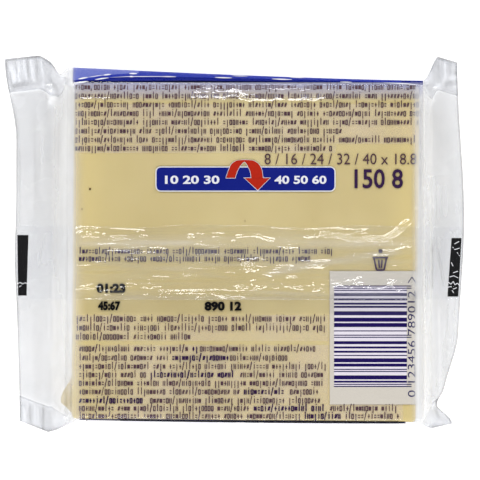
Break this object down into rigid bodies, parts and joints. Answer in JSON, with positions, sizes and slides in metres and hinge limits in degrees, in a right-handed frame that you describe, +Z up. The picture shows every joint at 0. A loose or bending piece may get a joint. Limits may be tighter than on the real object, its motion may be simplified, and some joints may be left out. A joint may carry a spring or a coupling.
{
  "type": "sealed pack of sliced cheese",
  "caption": "Flat square pack of processed cheese slices in clear printed film, with a flat ribbed seal and tucked corners at each end, lying with its back up.",
  "frame": {"origin": "middle of the footprint, on the surface that the pack lies on", "axes": "+X along the pack from one end seal to the other, +Y across it towards the edge with the blue band, +Z up out of the back panel"},
  "size_m": [0.1148, 0.094, 0.0185],
  "materials": {
    "film": "clear, wrinkled, slightly milky",
    "cheese": "smooth pale yellow food with a soft waxy sheen",
    "blue_print": "opaque glossy ink under film",
    "red_print": "opaque glossy ink under film",
    "purple_print": "fine dark ink under film",
    "pale_print": "thin white ink that lets a little of the cheese through",
    "black_print": "black ink"
  },
  "bodies": {
    "root": {"sealed_pack": "film"}
  },
  "joints": []
}
